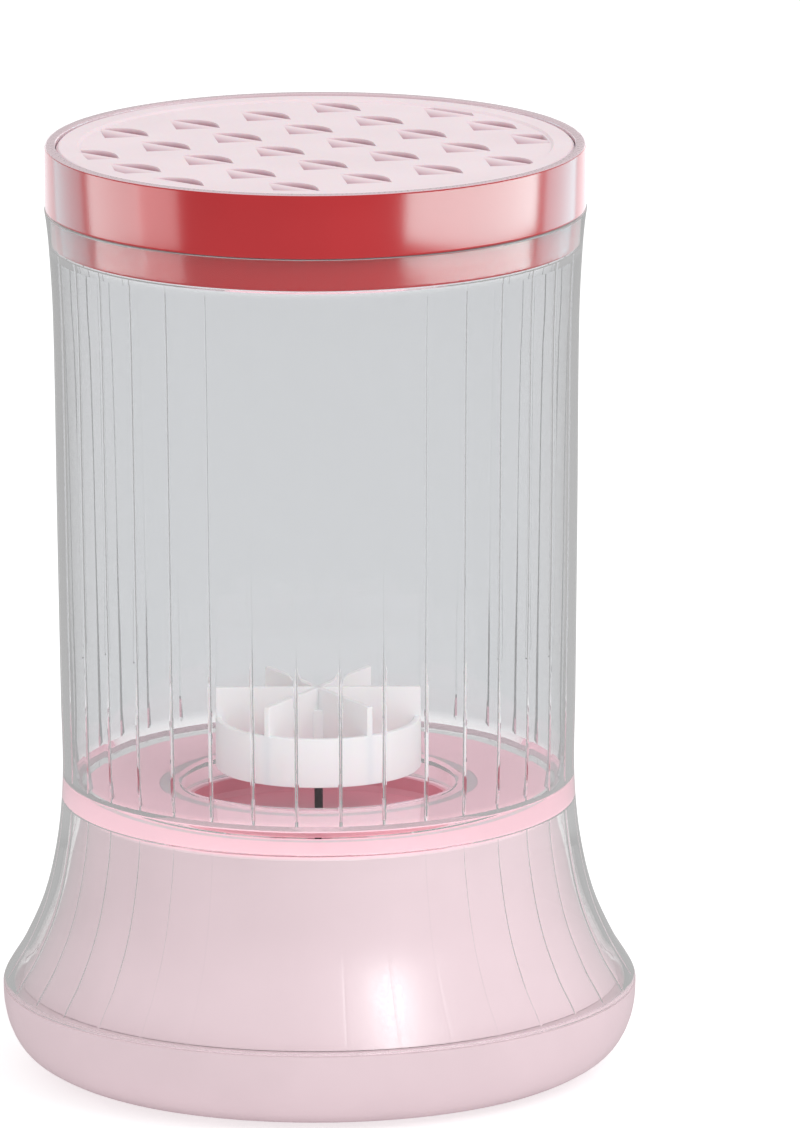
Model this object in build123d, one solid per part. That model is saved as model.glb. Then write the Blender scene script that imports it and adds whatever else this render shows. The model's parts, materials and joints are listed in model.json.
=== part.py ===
"""Electric make-up brush cleaner: a fluted clear cup on a weighted pink base, with a motor-driven
paddle in the bottom of the cup and a plated lid that holds a slotted silicone pad.

Millimetres. The origin is on the table under the middle of the base, +Z is up, and the charging
port and the power button face +Y.
"""
import math
import os

from build123d import *

# ---- driving dimensions ------------------------------------------------------------------------
HEIGHT = 165.0            # table to the top of the lid
BASE_RADIUS = 55.9        # widest point, where the clear skirt meets the base pan
BASE_FLAT_RADIUS = 44.5   # flat underside of the base pan
PAN_ROUNDNESS = 2.3       # 2 makes the side of the pan a quarter of an ellipse, and more is fuller
SEAM_Z = 14.7             # top edge of the base pan
STAND_OFF = 0.6           # how far the rubber feet hold the pan off the table
LID_RADIUS = 47.3
LID_RING_HEIGHT = 11.2    # the plated band that stands above the cup
FLOOR_TOP_Z = 51.4        # clear floor of the cup
FLOOR_THICKNESS = 4.1
FLUTES = 36
CUP_BORE_RADIUS = 45.6    # smooth bore that takes the plug of the lid
SHAFT_RADIUS = 0.75

# ---- walls and clearances ----------------------------------------------------------------------
PAN_WALL = 2.2
HOUSING_WALL = 2.0
DECK_THICKNESS = 2.4
DECK_ROUND = 1.0
PLUG_WALL = 1.3
LID_GAP = 0.12            # plug of the lid to the bore of the cup, on the radius
RUN_GAP = 0.03            # shaft to a plain bush, on the radius
SLIDE_GAP = 0.2           # button to the hole it slides in, on the radius
RIB_HEIGHT = 0.3          # flute edges, proud of the inner wall
RIB_WIDTH = 0.4

# ---- levels worked out from the driving dimensions ---------------------------------------------
LIP_Z = HEIGHT - LID_RING_HEIGHT - 0.2      # top of the clear cup
GASKET_TOP_Z = HEIGHT - LID_RING_HEIGHT
PLUG_BOTTOM_Z = LIP_Z - 5.7
DECK_Z = FLOOR_TOP_Z - FLOOR_THICKNESS      # pink deck under the clear floor
SKIRT_FOOT_Z = SEAM_Z + 0.08
WELL_RADIUS = 23.6
WELL_ROUND = 1.5
LINER_WALL = 0.8
LINER_HOLE_RADIUS = 2.4   # leaves room for the seal round the shaft
SEAL_RADIUS = 27.0        # middle of the ring that seals the cup to the deck
SEAL_WIDTH = 2.0
SEAL_HEIGHT = 1.3
WELL_FLOOR_Z = DECK_Z - 4.2
WELL_UNDER_Z = WELL_FLOOR_Z - HOUSING_WALL
FLOOR_HOLE_RADIUS = 24.2
PAN_FLOOR_Z = STAND_OFF + PAN_WALL

# ---- motor -------------------------------------------------------------------------------------
MOTOR_RADIUS = 12.2
MOTOR_TOP_Z = 35.0
MOTOR_BOTTOM_Z = 10.5
MOTOR_NOSE_RADIUS = 3.6
MOTOR_NOSE_TOP_Z = 36.9
BRACKET_THICKNESS = 1.5
BRACKET_RADIUS = 20.5
BRACKET_SCREW_CIRCLE = 16.5
BRACKET_SCREW_ANGLES = (30, 150, 270)
MOTOR_SCREW_X = 8.0

# ---- electrics ---------------------------------------------------------------------------------
BATTERY_RADIUS = 9.15
BATTERY_LENGTH = 50.0
BATTERY_Y = -28.0
BATTERY_Z = PAN_FLOOR_Z + BATTERY_RADIUS + 0.6
STRAP_POST_Y = 12.6       # from the axis of the cell to each strap screw
BOARD_X, BOARD_Y0, BOARD_Y1 = 13.0, 30.5, 47.0
BOARD_Z = 6.6
BOARD_THICKNESS = 1.2
BOARD_TOP_Z = BOARD_Z + BOARD_THICKNESS
PORT_X = 7.5
PORT_Z = BOARD_TOP_Z + 1.65
PORT_MOUTH_Y = 51.3
PORT_WIDTH, PORT_HEIGHT = 10.4, 4.7
SWITCH_Y0, SWITCH_Y1 = 43.2, 47.0
BUTTON_X = -8.0
BUTTON_Z = 9.6
BUTTON_RADIUS = 3.4
BUTTON_BACK_Y = 51.2
BUTTON_FACE_Y = 55.0
STEM_RADIUS = 1.2
LIGHT_RADIUS = 1.0
LIGHT_FACE_Y = 55.2
LAMP_Y = 45.6
LEAD_RADIUS = 0.6

# ---- fixings and feet --------------------------------------------------------------------------
PAN_SCREW_CIRCLE = 40.0
PAN_SCREW_ANGLES = (20, 160, 200, 340)
PAN_SCREW_SEAT_Z = 5.0    # the screw heads sit this far up inside the pan
PILLAR_RADIUS = 4.0
PILLAR_TOP_Z = 8.0
BOSS_GAP = 0.2            # housing bosses end this far above the pillars of the pan
SADDLE_X = 17.0
FOOT_CIRCLE = 35.0
FOOT_ANGLES = (45, 135, 225, 315)
FOOT_RADIUS = 5.0
FOOT_SINK = 1.0           # how deep a rubber foot sits in the pan
PLUNGER_PROUD = 0.9       # the plunger stands this far out of its switch

# ---- paddle ------------------------------------------------------------------------------------
PADDLE_RADIUS = 18.1
PADDLE_BOTTOM_Z = FLOOR_TOP_Z + 2.3
PADDLE_RING_TOP_Z = PADDLE_BOTTOM_Z + 8.6
PADDLE_TOP_Z = PADDLE_RING_TOP_Z + 5.2
VANE_THICKNESS = 1.1
SHAFT_TOP_Z = PADDLE_BOTTOM_Z + 8.5

# ---- silicone pad ------------------------------------------------------------------------------
PAD_RADIUS = 45.3
PAD_FIELD_RADIUS = 41.6
PAD_TOP_Z = HEIGHT - 0.3
PAD_FIELD_Z = PAD_TOP_Z - 0.4
PAD_UNDER_Z = PAD_FIELD_Z - 4.2
PAD_SHELF_Z = HEIGHT - 6.6
POCKET_PITCH = 14.5
POCKET_TURN = -59.0       # direction of the first lattice row, degrees from +X
POCKET_LIMIT = 39.3       # no pocket centre further out than this
POCKET_FIELD_RADIUS = 41.0 # pockets near the border are cut short here
POCKET_WIDTH, POCKET_DEPTH = 7.8, 8.8
POCKET_ROUND = 5.6        # rounding of the far right corner
POCKET_TILT = 8.0
POCKET_SINK = 2.4         # how far the two corners of a tab dip
SLIT_WIDTH = 0.4
HINGE_WIDTH = 2.4


def turned(*points):
    """A solid turned about Z from a closed outline of (radius, height) corners."""
    outline = Polyline(*[(r, 0, z) for r, z in points], close=True)
    return revolve(make_face(outline), Axis.Z)


def turned_between(outer, inner):
    """A solid turned about Z between two open profiles, both listed from the top down."""
    rim = Line(inner @ 0, outer @ 0)
    foot = Line(outer @ 1, inner @ 1)
    return revolve(make_face([outer, foot, inner, rim]), Axis.Z)


def smooth(*points, tangents=None):
    """A smooth profile through (radius, height) points, drawn in the XZ plane."""
    ends = None if tangents is None else [Vector(r, 0, z) for r, z in tangents]
    return Spline(*[(r, 0, z) for r, z in points], tangents=ends)


def rod(radius, low, high, x=0.0, y=0.0):
    """An upright cylinder from one height to another."""
    return Pos(x, y, (low + high) / 2) * Cylinder(radius, high - low)


def rod_along_y(radius, near, far, x, z):
    return Pos(x, (near + far) / 2, z) * Rot(90, 0, 0) * Cylinder(radius, far - near)


def ring_of(shape, angles):
    """Copies of a shape turned about Z."""
    return [Rot(0, 0, angle) * shape for angle in angles]


def around(radius, angles):
    """(x, y) points on a circle."""
    return [(radius * math.cos(math.radians(a)), radius * math.sin(math.radians(a))) for a in angles]


def joined(shapes):
    """One shape fused from several."""
    first, *rest = shapes
    return first + rest if rest else first


def save(shape, node):
    export_step(shape, f"parts/{node}.step")


# ---- outer profiles ----------------------------------------------------------------------------
def cup_outer_profile():
    """Outside of the clear cup from its lip down to the seam: a slight funnel at the lip, a long
    gentle taper, and a flared skirt that turns upright again at its foot."""
    return smooth(
        (47.45, LIP_Z), (46.7, 147.0), (46.05, 134.0), (45.7, 100.0), (45.3, 66.0), (45.1, 52.0),
        (46.1, 40.5), (48.5, 30.0), (52.2, 21.5), (55.2, 16.6), (BASE_RADIUS, SKIRT_FOOT_Z),
        tangents=((-0.16, -1.0), (0.25, -1.0)),
    )


def skirt_inner_profile():
    """Inside of the skirt, from the underside of the clear floor down to the seam."""
    return smooth(
        (43.4, DECK_Z), (44.3, 40.0), (46.6, 30.0), (50.2, 21.5), (53.0, 17.0), (54.0, SKIRT_FOOT_Z),
        tangents=((0.04, -1.0), (0.3, -1.0)),
    )


def housing_outer_profile():
    """Outside of the pink housing, a little inside the skirt all the way down."""
    return smooth(
        (41.9, DECK_Z - DECK_ROUND), (42.9, 40.0), (45.2, 30.0), (48.8, 21.5), (52.4, SKIRT_FOOT_Z),
        tangents=((0.04, -1.0), (0.6, -1.0)),
    )


# ---- cup ---------------------------------------------------------------------------------------
def cup_wall_radius(z):
    """Inner wall below the bore, drafted so that the wall thickens towards the floor."""
    top_z, top_r, low_r = PLUG_BOTTOM_Z - 0.6, 45.0, 43.5
    return low_r + (top_r - low_r) * (z - FLOOR_TOP_Z) / (top_z - FLOOR_TOP_Z)


def cup_rib():
    """One flute edge: a thin rib along the inner wall of the cup and another inside the skirt."""
    top, low = PLUG_BOTTOM_Z - 1.2, FLOOR_TOP_Z - 0.3
    sunk = 0.3
    wall = [(cup_wall_radius(top), 0, top), (cup_wall_radius(low), 0, low)]
    outer = [(r + sunk, y, z) for r, y, z in wall]
    inner = [(r - RIB_HEIGHT, y, z) for r, y, z in reversed(wall)]
    upper = extrude(make_face(Polyline(*outer, *inner, close=True)), RIB_WIDTH / 2, both=True)

    skin = skirt_inner_profile()
    inward = Pos(-RIB_HEIGHT, 0, 0) * skin
    into_wall = Pos(sunk, 0, 0) * skin
    edges = [into_wall, Line(into_wall @ 1, inward @ 1), inward, Line(inward @ 0, into_wall @ 0)]
    lower = extrude(make_face(edges), RIB_WIDTH / 2, both=True)
    return upper, lower


def make_clear_cup():
    """Tube, floor with a round hole for the paddle well, and flared skirt, in one clear moulding."""
    outer = cup_outer_profile()
    shell = revolve(
        make_face([outer, Line(outer @ 1, (0, 0, SKIRT_FOOT_Z)),
                   Line((0, 0, SKIRT_FOOT_Z), (0, 0, LIP_Z)), Line((0, 0, LIP_Z), outer @ 0)]),
        Axis.Z,
    )
    wall_top = PLUG_BOTTOM_Z - 0.6
    inside = turned(
        (0, LIP_Z + 1), (CUP_BORE_RADIUS, LIP_Z + 1),
        (CUP_BORE_RADIUS, PLUG_BOTTOM_Z - 0.1), (cup_wall_radius(wall_top), wall_top),
        (cup_wall_radius(FLOOR_TOP_Z + 1.2), FLOOR_TOP_Z + 1.2),
        (cup_wall_radius(FLOOR_TOP_Z) - 1.2, FLOOR_TOP_Z), (0, FLOOR_TOP_Z),
    )
    skin = skirt_inner_profile()
    under = revolve(
        make_face([skin, Line(skin @ 1, (0, 0, SKIRT_FOOT_Z)),
                   Line((0, 0, SKIRT_FOOT_Z), (0, 0, DECK_Z)), Line((0, 0, DECK_Z), skin @ 0)]),
        Axis.Z,
    )
    hole = rod(FLOOR_HOLE_RADIUS, DECK_Z - 1, FLOOR_TOP_Z + 1)
    cup = shell - inside - under - hole
    step = 360 / FLUTES
    ribs = [part for i in range(FLUTES) for part in ring_of_rib(step * (i + 0.5))]
    return cup + ribs


def ring_of_rib(angle):
    return [Rot(0, 0, angle) * part for part in RIB]


# ---- lid ---------------------------------------------------------------------------------------
def make_lid_ring():
    """Plated ring: outer band, shelf under the pad, and a plug that enters the cup."""
    low = PLUG_BOTTOM_Z
    plug = CUP_BORE_RADIUS - LID_GAP
    recess = PAD_RADIUS + 0.1
    shelf = PAD_FIELD_RADIUS - 0.4
    ring = turned(
        (plug - PLUG_WALL, low), (plug, low), (plug, GASKET_TOP_Z),
        (LID_RADIUS, GASKET_TOP_Z), (LID_RADIUS, HEIGHT), (recess, HEIGHT), (recess, PAD_SHELF_Z),
        (shelf, PAD_SHELF_Z), (shelf, PAD_SHELF_Z - 1.8), (plug - PLUG_WALL, PAD_SHELF_Z - 1.8))
    top_edge = ring.edges().group_by(Axis.Z)[-1].sort_by(SortBy.RADIUS)[-1]
    return fillet(top_edge, 0.9)


def make_lid_gasket():
    inner, outer = CUP_BORE_RADIUS - LID_GAP + 0.02, LID_RADIUS - 0.5
    low, high = LIP_Z + 0.04, GASKET_TOP_Z
    return turned((inner, low), (outer, low), (outer, high), (inner, high))


def pocket_places():
    """Centres of the pockets: a square lattice, turned, and set half a pitch off the middle."""
    row = Vector(POCKET_PITCH, 0, 0).rotate(Axis.Z, POCKET_TURN)
    column = row.rotate(Axis.Z, -90)
    reach = 4
    places = [
        row * i + column * (j + 0.5) for i in range(-reach, reach + 1) for j in range(-reach, reach + 1)
    ]
    return [place for place in places if place.length < POCKET_LIMIT]


def pocket_cutter():
    """Pocket with a tab in it that is hinged along one diagonal, so that two opposite corners of the
    tab dip below the field. A slit round the tab lets it bend when a brush handle is pushed in."""
    w, d, z = POCKET_WIDTH / 2, POCKET_DEPTH / 2, PAD_FIELD_Z
    square = Pos(0, 0, z) * Rectangle(2 * w, 2 * d)
    far_right = square.vertices().group_by(Axis.X)[-1].sort_by(Axis.Y)[-1]
    outline = fillet(far_right, POCKET_ROUND)
    block = extrude(outline, 1) + extrude(outline, -POCKET_SINK)

    diagonal = math.degrees(math.atan2(-d, w))
    corner_reach = w * d / math.hypot(w, d)
    slope = POCKET_SINK / (2 * corner_reach)
    far = 3 * w
    eaves = z - far * slope
    ridge = Plane.YZ * make_face(Polyline((0, z), (far, eaves), (-far, eaves), close=True))
    roof = Rot(0, 0, diagonal) * extrude(ridge, far, both=True)

    border = outline - offset(outline, -SLIT_WIDTH, kind=Kind.INTERSECTION)
    through = extrude(border, -2 * (PAD_FIELD_Z - PAD_UNDER_Z), both=True)
    hinge = Rot(0, 0, diagonal) * Pos(0, 0, z) * Box(4 * w, HINGE_WIDTH, 30)
    return (block - roof) + (through - hinge)


def make_lid_pad():
    """Silicone pad: thick border that sits on the shelf of the ring, and a field of pockets."""
    body = turned(
        (0, PAD_UNDER_Z), (PAD_FIELD_RADIUS - 1.2, PAD_UNDER_Z), (PAD_FIELD_RADIUS - 1.2, PAD_SHELF_Z),
        (PAD_RADIUS, PAD_SHELF_Z), (PAD_RADIUS, PAD_TOP_Z - 0.5), (PAD_RADIUS - 0.5, PAD_TOP_Z),
        (PAD_FIELD_RADIUS, PAD_TOP_Z), (PAD_FIELD_RADIUS - 0.4, PAD_FIELD_Z), (0, PAD_FIELD_Z),
    )
    cutter = Rot(0, 0, POCKET_TILT) * pocket_cutter()
    field = rod(POCKET_FIELD_RADIUS, PAD_UNDER_Z - 1, HEIGHT + 1)
    return body - [(Pos(place.X, place.Y, 0) * cutter) & field for place in pocket_places()]


# ---- base --------------------------------------------------------------------------------------
def pan_radius(z, flat=BASE_FLAT_RADIUS, widest=BASE_RADIUS, low=STAND_OFF):
    """Radius of the rounded side of the base pan at a height."""
    share = (SEAM_Z - z) / (SEAM_Z - low)
    return flat + (widest - flat) * max(0.0, 1 - share ** PAN_ROUNDNESS) ** (1 / PAN_ROUNDNESS)


def pan_side(flat, widest, low):
    """A full quarter round from the top edge of the pan down to its flat underside."""
    heights = [SEAM_Z, SEAM_Z - 3, SEAM_Z - 6, SEAM_Z - 9, low + 2.4, low + 0.8, low]
    points = [(pan_radius(z, flat, widest, low), z) for z in heights]
    return smooth(*points, tangents=((0, -1), (-1, 0)))


def solid_under(profile, top, low):
    """A solid of revolution below a profile that runs from the top down."""
    edges = [profile, Line(profile @ 1, (0, 0, low)), Line((0, 0, low), (0, 0, top)),
             Line((0, 0, top), profile @ 0)]
    return revolve(make_face(edges), Axis.Z)


def make_base_pan():
    """Rounded pink pan with a flat rim, battery saddles, board posts and screw pillars."""
    body = solid_under(pan_side(BASE_FLAT_RADIUS, BASE_RADIUS, STAND_OFF), SEAM_Z, STAND_OFF)
    hollow_flat, hollow_wide = BASE_FLAT_RADIUS - 1.0, BASE_RADIUS - 4.6
    hollow = solid_under(pan_side(hollow_flat, hollow_wide, PAN_FLOOR_Z), SEAM_Z, PAN_FLOOR_Z)
    pan = body - hollow

    root = PAN_FLOOR_Z - 0.5
    screws = around(PAN_SCREW_CIRCLE, PAN_SCREW_ANGLES)
    posts = (BATTERY_Y - STRAP_POST_Y, BATTERY_Y + STRAP_POST_Y)
    pillars = [rod(PILLAR_RADIUS, root, PILLAR_TOP_Z, x, y) for x, y in screws]
    saddle = Pos(0, BATTERY_Y, PAN_FLOOR_Z + 2.5) * Box(2.0, 17.0, 6.0)
    cell = Pos(0, BATTERY_Y, BATTERY_Z) * Rot(0, 90, 0) * Cylinder(BATTERY_RADIUS + 0.05, 80)
    saddles = [Pos(x, 0, 0) * saddle - cell for x in (-SADDLE_X, SADDLE_X)]
    strap_posts = [rod(2.6, root, BATTERY_Z, 0, y) for y in posts]
    board_posts = [rod(2.2, root, BOARD_Z, x, y) for x, y in board_screw_places()]
    pan = pan + pillars + saddles + strap_posts + board_posts

    for x, y in screws:
        pan = pan - rod(1.6, 0, PILLAR_TOP_Z + 1, x, y) - rod(3.1, 0, PAN_SCREW_SEAT_Z, x, y)
    for x, y in around(FOOT_CIRCLE, FOOT_ANGLES):
        pan = pan - rod(FOOT_RADIUS + 0.1, 0, STAND_OFF + FOOT_SINK, x, y)
    for y in posts:
        pan = pan - rod(0.8, BATTERY_Z - 6, BATTERY_Z + 1, 0, y)
    for x, y in board_screw_places():
        pan = pan - rod(0.7, BOARD_Z - 3.0, BOARD_Z + 1, x, y)
    inside, outside = 45, 60
    slot = extrude(SlotOverall(PORT_WIDTH, PORT_HEIGHT), (outside - inside) / 2, both=True)
    port = Pos(PORT_X, (inside + outside) / 2, PORT_Z) * Rot(90, 0, 0) * slot
    button = rod_along_y(BUTTON_RADIUS + SLIDE_GAP, inside, outside, BUTTON_X, BUTTON_Z)
    light = rod_along_y(LIGHT_RADIUS + 0.05, inside, outside, 0, BUTTON_Z)
    return pan - port - button - light


def board_screw_places():
    return [(-BOARD_X + 2.6, BOARD_Y0 + 2.8), (BOARD_X - 2.6, BOARD_Y0 + 2.8)]


def make_housing():
    """Pink bell over the works: flared wall, flat deck, paddle well, seal boss and screw bosses."""
    outer = housing_outer_profile()
    deck_edge = (outer @ 0).X - DECK_ROUND
    round_over = Line(outer @ 0, (deck_edge, 0, DECK_Z))
    top = Line((deck_edge, 0, DECK_Z), (0, 0, DECK_Z))
    axis = Line((0, 0, DECK_Z), (0, 0, SKIRT_FOOT_Z))
    foot = Line((0, 0, SKIRT_FOOT_Z), outer @ 1)
    bell = revolve(make_face([outer, round_over, top, axis, foot]), Axis.Z)
    inner = Pos(-HOUSING_WALL, 0, 0) * outer
    deck_under = DECK_Z - DECK_THICKNESS
    room = revolve(
        make_face([inner, Line(inner @ 1, (0, 0, SKIRT_FOOT_Z)),
                   Line((0, 0, SKIRT_FOOT_Z), (0, 0, deck_under)),
                   Line((0, 0, deck_under), ((inner @ 0).X, 0, deck_under)),
                   Line(((inner @ 0).X, 0, deck_under), inner @ 0)]),
        Axis.Z,
    )
    bell = bell - room
    well = turned((0, WELL_UNDER_Z), (WELL_RADIUS + 1.8, WELL_UNDER_Z), (WELL_RADIUS + 1.8, DECK_Z - 1),
                  (0, DECK_Z - 1))
    seal_boss = rod(5.4, WELL_UNDER_Z - 2.6, WELL_UNDER_Z + 0.5)
    bracket_bosses = [
        rod(2.8, MOTOR_TOP_Z + BRACKET_THICKNESS, WELL_UNDER_Z + 0.5, x, y)
        for x, y in around(BRACKET_SCREW_CIRCLE, BRACKET_SCREW_ANGLES)
    ]
    envelope = bell + room + rod(BASE_RADIUS, PAN_SCREW_SEAT_Z, SKIRT_FOOT_Z + 0.1)
    pan_bosses = [
        rod(3.6, PILLAR_TOP_Z + BOSS_GAP, DECK_Z - 2, x, y) & envelope
        for x, y in around(PAN_SCREW_CIRCLE, PAN_SCREW_ANGLES)
    ]
    lip = turned((48.0, SEAM_Z - 2.6), (50.0, SEAM_Z - 2.6), (50.6, SEAM_Z + 1.0), (48.8, SEAM_Z + 1.0))
    body = bell + [well, seal_boss, lip] + bracket_bosses + pan_bosses

    sump = turned(
        (0, WELL_FLOOR_Z), (WELL_RADIUS - WELL_ROUND, WELL_FLOOR_Z),
        (WELL_RADIUS, WELL_FLOOR_Z + WELL_ROUND), (WELL_RADIUS, DECK_Z + 1), (0, DECK_Z + 1))
    seal_seat = rod(3.6, WELL_UNDER_Z - 4, WELL_FLOOR_Z - 0.8)
    shaft_way = rod(2.2, WELL_UNDER_Z - 4, WELL_FLOOR_Z + 1)
    inner, outer, low = SEAL_RADIUS - SEAL_WIDTH / 2, SEAL_RADIUS + SEAL_WIDTH / 2, DECK_Z - SEAL_HEIGHT
    groove = turned((inner, low), (outer, low), (outer, DECK_Z + 1), (inner, DECK_Z + 1))
    body = body - sump - seal_seat - shaft_way - groove
    for x, y in around(BRACKET_SCREW_CIRCLE, BRACKET_SCREW_ANGLES):
        body = body - rod(0.8, MOTOR_TOP_Z, WELL_UNDER_Z - 0.8, x, y)
    for x, y in around(PAN_SCREW_CIRCLE, PAN_SCREW_ANGLES):
        body = body - rod(1.15, 7.0, 17.0, x, y)
    return body


def make_well_liner():
    """Deep pink silicone liner on the floor and wall of the well, open round the shaft seal."""
    gap = 0.04
    low, outer = WELL_FLOOR_Z + gap, WELL_RADIUS - 1.5 * gap
    inner, floor_edge = outer - LINER_WALL, outer - WELL_ROUND
    return turned(
        (LINER_HOLE_RADIUS, low), (floor_edge, low), (outer, low + WELL_ROUND), (outer, DECK_Z),
        (inner, DECK_Z), (inner, low + WELL_ROUND + 0.3), (floor_edge - 0.3, low + LINER_WALL),
        (LINER_HOLE_RADIUS, low + LINER_WALL))


def make_cup_seal():
    """Square-section silicone ring in the groove of the deck, pressed flat by the clear floor."""
    half, low = SEAL_WIDTH / 2 - 0.05, DECK_Z - SEAL_HEIGHT
    inner, outer = SEAL_RADIUS - half, SEAL_RADIUS + half
    return turned((inner, low), (outer, low), (outer, DECK_Z), (inner, DECK_Z))


def make_shaft_seal():
    """Rubber seal in the boss under the well, with a short lip round the shaft."""
    lip, low = SHAFT_RADIUS + RUN_GAP, WELL_UNDER_Z - 2.6
    return turned((lip, WELL_FLOOR_Z - 1.6), (1.6, low), (3.55, low), (3.55, WELL_FLOOR_Z - 0.8),
                  (2.15, WELL_FLOOR_Z - 0.8), (2.15, WELL_FLOOR_Z + 0.15), (1.3, WELL_FLOOR_Z + 0.7),
                  (lip, WELL_FLOOR_Z + 0.7))


def make_rubber_feet():
    foot = chamfer(rod(FOOT_RADIUS, 0, STAND_OFF + FOOT_SINK).edges().group_by(Axis.Z)[0], 0.3)
    return Compound([Pos(x, y, 0) * foot for x, y in around(FOOT_CIRCLE, FOOT_ANGLES)])


# ---- paddle and motor --------------------------------------------------------------------------
def d_shape(radius, flat, low, high):
    """A round bar with one flat side."""
    bar = rod(radius, low, high)
    return bar - Pos(radius + flat, 0, (low + high) / 2) * Box(2 * radius, 4 * radius, high - low + 2)


def make_paddle():
    """White paddle: three crossed plates make six vanes, tied by a ring round their lower half."""
    plate = Pos(0, 0, (PADDLE_BOTTOM_Z + PADDLE_TOP_Z) / 2) * Box(
        2 * PADDLE_RADIUS, VANE_THICKNESS, PADDLE_TOP_Z - PADDLE_BOTTOM_Z)
    band = turned(
        (PADDLE_RADIUS - 1.2, PADDLE_BOTTOM_Z), (PADDLE_RADIUS, PADDLE_BOTTOM_Z),
        (PADDLE_RADIUS, PADDLE_RING_TOP_Z), (PADDLE_RADIUS - 1.2, PADDLE_RING_TOP_Z))
    hub = rod(2.8, PADDLE_BOTTOM_Z, SHAFT_TOP_Z + 1.6)
    trim = rod(PADDLE_RADIUS, PADDLE_BOTTOM_Z, PADDLE_TOP_Z)
    body = (joined(ring_of(plate, (0, 60, 120))) & trim) + [band, hub]
    bore = d_shape(SHAFT_RADIUS + RUN_GAP, 0.5 + RUN_GAP, PADDLE_BOTTOM_Z - 1, SHAFT_TOP_Z + 0.1)
    return body - bore


def make_motor_shaft():
    """Steel shaft from the rear bush up to the paddle, with a flat along its top end."""
    return rod(SHAFT_RADIUS, MOTOR_BOTTOM_Z - 1.2, PADDLE_BOTTOM_Z - 1.0) + d_shape(
        SHAFT_RADIUS, 0.5, PADDLE_BOTTOM_Z - 1.0, SHAFT_TOP_Z)


def make_motor_can():
    wall = 0.8
    can = turned(
        (3.0, MOTOR_TOP_Z - wall), (MOTOR_RADIUS - wall, MOTOR_TOP_Z - wall),
        (MOTOR_RADIUS - wall, MOTOR_BOTTOM_Z), (MOTOR_RADIUS, MOTOR_BOTTOM_Z),
        (MOTOR_RADIUS, MOTOR_TOP_Z - 0.8), (MOTOR_RADIUS - 0.8, MOTOR_TOP_Z),
        (MOTOR_NOSE_RADIUS, MOTOR_TOP_Z), (MOTOR_NOSE_RADIUS, MOTOR_NOSE_TOP_Z), (3.0, MOTOR_NOSE_TOP_Z))
    threads = [rod(0.8, MOTOR_TOP_Z - 2, MOTOR_TOP_Z + 1, side * MOTOR_SCREW_X) for side in (-1, 1)]
    return can - threads


def make_motor_bushes():
    """Two sintered bushes: one in the nose of the can, one in the end cap."""
    inner = SHAFT_RADIUS + RUN_GAP
    nose = turned((inner, MOTOR_NOSE_TOP_Z - 3.0), (3.0, MOTOR_NOSE_TOP_Z - 3.0), (3.0, MOTOR_NOSE_TOP_Z),
                  (inner, MOTOR_NOSE_TOP_Z))
    rear = turned((inner, MOTOR_BOTTOM_Z - 1.4), (2.4, MOTOR_BOTTOM_Z - 1.4), (2.4, MOTOR_BOTTOM_Z + 1.0),
                  (inner, MOTOR_BOTTOM_Z + 1.0))
    return Compound([nose, rear])


def make_motor_end_cap():
    """Plastic cap that closes the can, with two slots for the terminals."""
    fit = MOTOR_RADIUS - 0.8
    cap = turned(
        (2.4, MOTOR_BOTTOM_Z - 1.4), (4.0, MOTOR_BOTTOM_Z - 1.4), (4.0, MOTOR_BOTTOM_Z - 0.8),
        (MOTOR_RADIUS - 0.3, MOTOR_BOTTOM_Z - 0.8), (MOTOR_RADIUS - 0.3, MOTOR_BOTTOM_Z),
        (fit, MOTOR_BOTTOM_Z), (fit, MOTOR_BOTTOM_Z + 1.0), (2.4, MOTOR_BOTTOM_Z + 1.0))
    slot = Box(0.5, 2.2, 6)
    return cap - [Pos(side * 8.0, 0, MOTOR_BOTTOM_Z) * slot for side in (-1, 1)]


def make_motor_brushes():
    """A terminal blade each side, bent in to a spring brush that bears on the commutator."""
    z0 = MOTOR_BOTTOM_Z
    blade = Pos(8.0, 0, z0 + 0.3) * Box(0.4, 2.0, 5.6)
    arm = Pos(5.75, 0, z0 + 2.9) * Box(4.9, 1.2, 0.4)
    tip = Pos(3.4, 0, z0 + 2.7) * Box(0.5, 1.2, 1.8)
    one = blade + arm + tip
    return Compound([one, Rot(0, 0, 180) * one])


def make_motor_magnets():
    """Two arc magnets against the wall of the can."""
    outer, inner = MOTOR_RADIUS - 0.82, MOTOR_RADIUS - 2.7
    tube = turned((inner, 15.0), (outer, 15.0), (outer, 32.5), (inner, 32.5))
    halves = [Pos(side * 20, 0, 24) * Box(33, 60, 60) for side in (-1, 1)]
    return Compound([(tube & half).solid() for half in halves])


def make_motor_rotor():
    """Laminated core with three poles, seen as slots, and the windings at both ends."""
    core = rod(8.9, 17.0, 31.0)
    slot = Pos(6.9, 0, 24) * Box(4.6, 1.6, 20)
    core = core - ring_of(slot, (60, 180, 300))
    ends = [rod(6.6, 15.4, 17.0), rod(6.6, 31.0, 32.6)]
    return (core + ends) - rod(SHAFT_RADIUS, 10, 40)


def make_commutator():
    body = rod(3.0, MOTOR_BOTTOM_Z + 1.3, 15.2) - rod(SHAFT_RADIUS, 5, 20)
    cut = Pos(2.8, 0, MOTOR_BOTTOM_Z + 2.6) * Box(0.9, 0.4, 2.6)
    return body - ring_of(cut, (0, 120, 240))


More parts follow.
